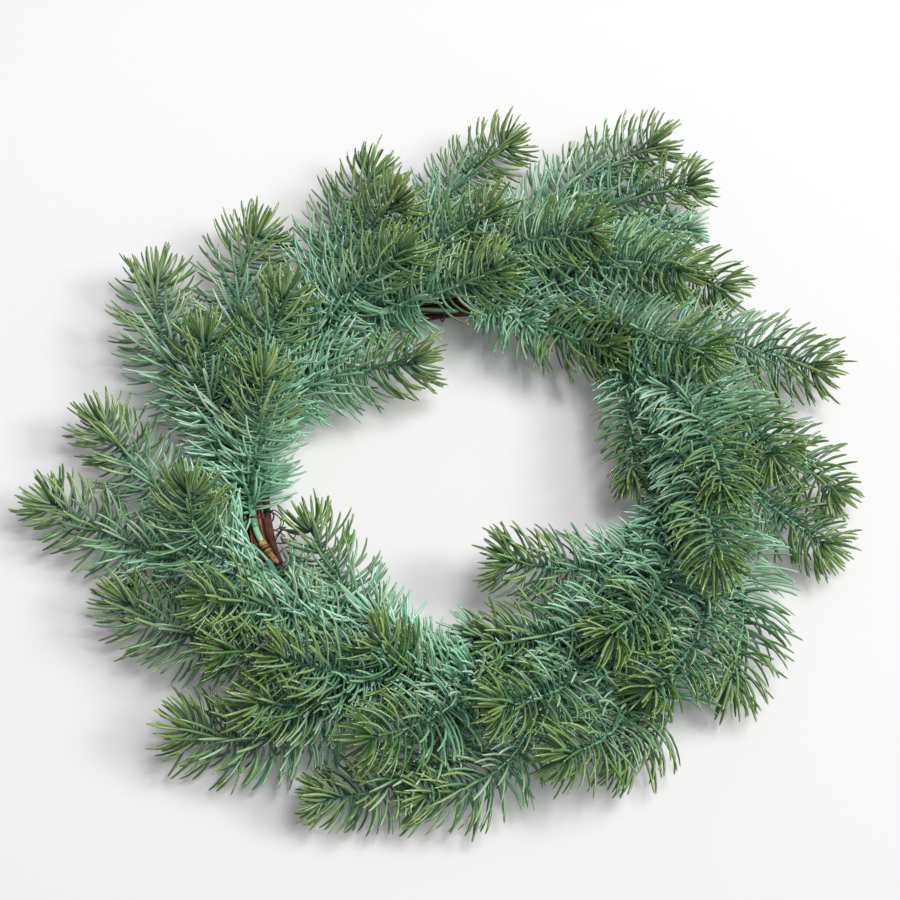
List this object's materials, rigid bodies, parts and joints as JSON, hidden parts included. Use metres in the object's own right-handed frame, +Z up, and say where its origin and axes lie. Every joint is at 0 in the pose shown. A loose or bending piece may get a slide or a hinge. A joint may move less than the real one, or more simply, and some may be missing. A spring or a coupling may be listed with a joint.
{
  "type": "moulded evergreen wreath",
  "caption": "Round evergreen wreath of blue-green spruce twigs with olive ends, all swept one way and bound on a ring of twisted brown vine, lying flat.",
  "frame": {"origin": "middle of the wreath's outline, on the surface that it lies on", "axes": "+Z up, out of the wreath's face; +X across the wreath along its longest extent; -Y towards the picture's camera"},
  "size_m": [0.4896, 0.4654, 0.0956],
  "materials": {
    "vine": "dry reddish-brown bark with lighter ridges",
    "wire": "thin, dark brown and slightly glossy",
    "green": "blue-green moulded needles, soft satin",
    "olive": "olive-green moulded needles, soft satin"
  },
  "bodies": {
    "root": {"vine_inner": "vine", "vine_outer": "vine", "binding_wire": "wire", "spray_left_low": "green", "spray_left": "green", "spray_top_left": "green", "spray_top_right": "green", "spray_right": "green", "spray_right_low": "green", "spray_bottom_right": "green", "spray_bottom_left": "green", "tip_left_low_1": "olive", "tip_left_low_2": "olive", "tip_left_low_3": "olive", "tip_left_low_4": "olive", "tip_left_low_5": "olive", "tip_left_low_6": "olive", "tip_left_1": "olive", "tip_left_2": "olive", "tip_left_3": "olive", "tip_left_4": "olive", "tip_left_5": "olive", "tip_left_6": "olive", "tip_top_left_1": "olive", "tip_top_left_2": "olive", "tip_top_left_3": "olive", "tip_top_left_4": "olive", "tip_top_left_5": "olive", "tip_top_left_6": "olive", "tip_top_right_1": "olive", "tip_top_right_2": "olive", "tip_top_right_3": "olive", "tip_top_right_4": "olive", "tip_top_right_5": "olive", "tip_top_right_6": "olive", "tip_top_right_7": "olive", "tip_right_1": "olive", "tip_right_2": "olive", "tip_right_3": "olive", "tip_right_4": "olive", "tip_right_5": "olive", "tip_right_6": "olive", "tip_right_low_1": "olive", "tip_right_low_2": "olive", "tip_right_low_3": "olive", "tip_right_low_4": "olive", "tip_right_low_5": "olive", "tip_right_low_6": "olive", "tip_bottom_right_1": "olive", "tip_bottom_right_2": "olive", "tip_bottom_right_3": "olive", "tip_bottom_right_4": "olive", "tip_bottom_right_5": "olive", "tip_bottom_left_1": "olive", "tip_bottom_left_2": "olive", "tip_bottom_left_3": "olive", "tip_bottom_left_4": "olive", "tip_bottom_left_5": "olive", "tip_bottom_left_6": "olive", "tip_bottom_left_7": "olive"}
  },
  "joints": []
}
